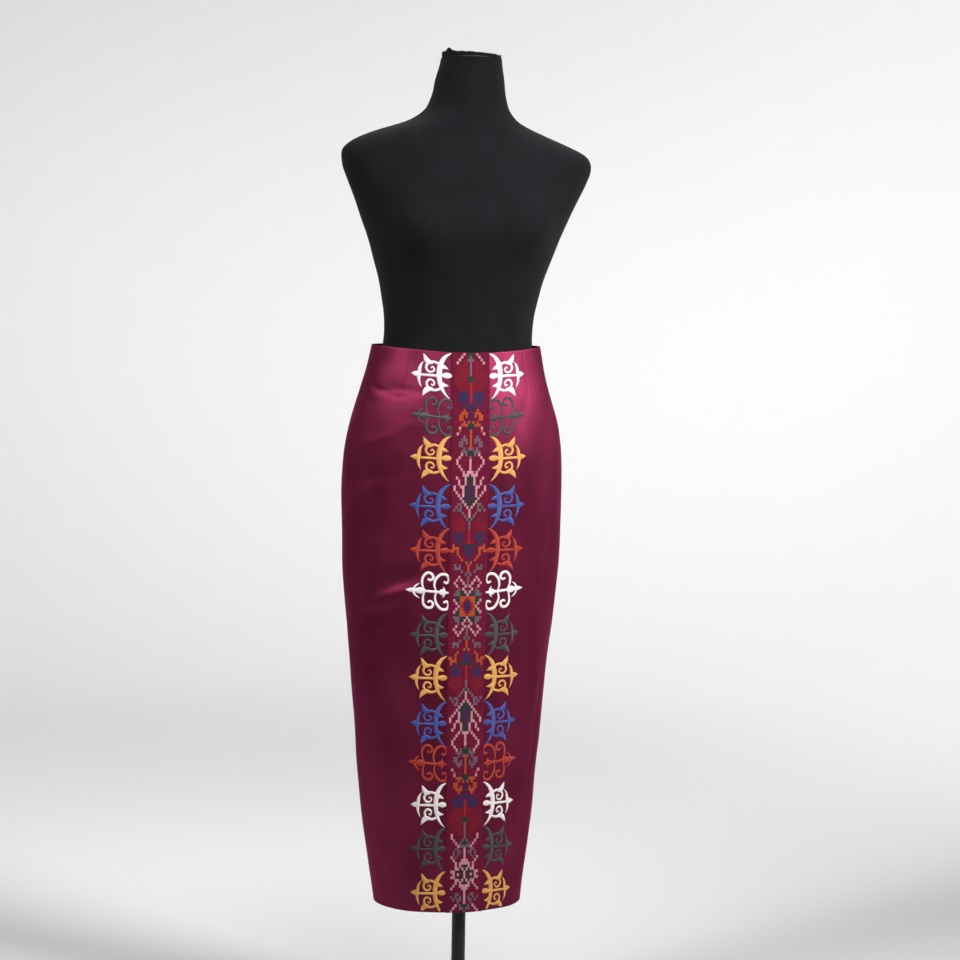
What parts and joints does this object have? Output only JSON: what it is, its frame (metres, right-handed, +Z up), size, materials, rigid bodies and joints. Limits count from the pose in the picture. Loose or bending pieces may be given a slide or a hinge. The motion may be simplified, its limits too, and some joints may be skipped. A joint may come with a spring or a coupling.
{
  "type": "long narrow satin skirt with a woven langkit strip, on a black dress form with a pole stand",
  "caption": "Ankle-length narrow satin skirt with a woven strip and embroidered motifs down the front, fitted on a limbless dress form that stands on a pole and round base.",
  "frame": {"origin": "on the floor, at the centre of the bounding box's underside, 5 mm to the wearer's right of the pole", "axes": "+Z up along the pole, -Y out of the front of the skirt, +X to the wearer's left"},
  "size_m": [0.4, 0.34, 1.5557],
  "materials": {
    "satin": "heavy maroon satin with a soft sheen",
    "langkit_weave": "matt tapestry weave, burgundy ground with pink, grey, orange, indigo and black figures",
    "embroidery_thread": "glossy satin stitch in white, gold, blue, red and grey thread",
    "black_jersey": "black cotton jersey drawn over the form",
    "black_steel": "black satin powder coat",
    "dyed_zip": "enamelled to match the satin"
  },
  "bodies": {
    "skirt_and_form": {"skirt_front": "satin", "skirt_back_left": "satin", "skirt_back_right": "satin", "langkit_strip": "langkit_weave", "vent_underlap": "satin", "zip_slider": "dyed_zip", "form_torso": "black_jersey", "form_cover_edge": "black_jersey", "stand_pole": "black_steel", "stand_base": "black_steel"},
    "pull_tab": {"zip_pull": "dyed_zip"}
  },
  "joints": [
    {"name": "zip_pull_swing", "type": "hinge", "parent": "skirt_and_form", "child": "pull_tab", "pos_m": [-0.01416, 0.10283, 1.08244], "axis": [1, 0, 0], "range_deg": [0, 160]}
  ]
}
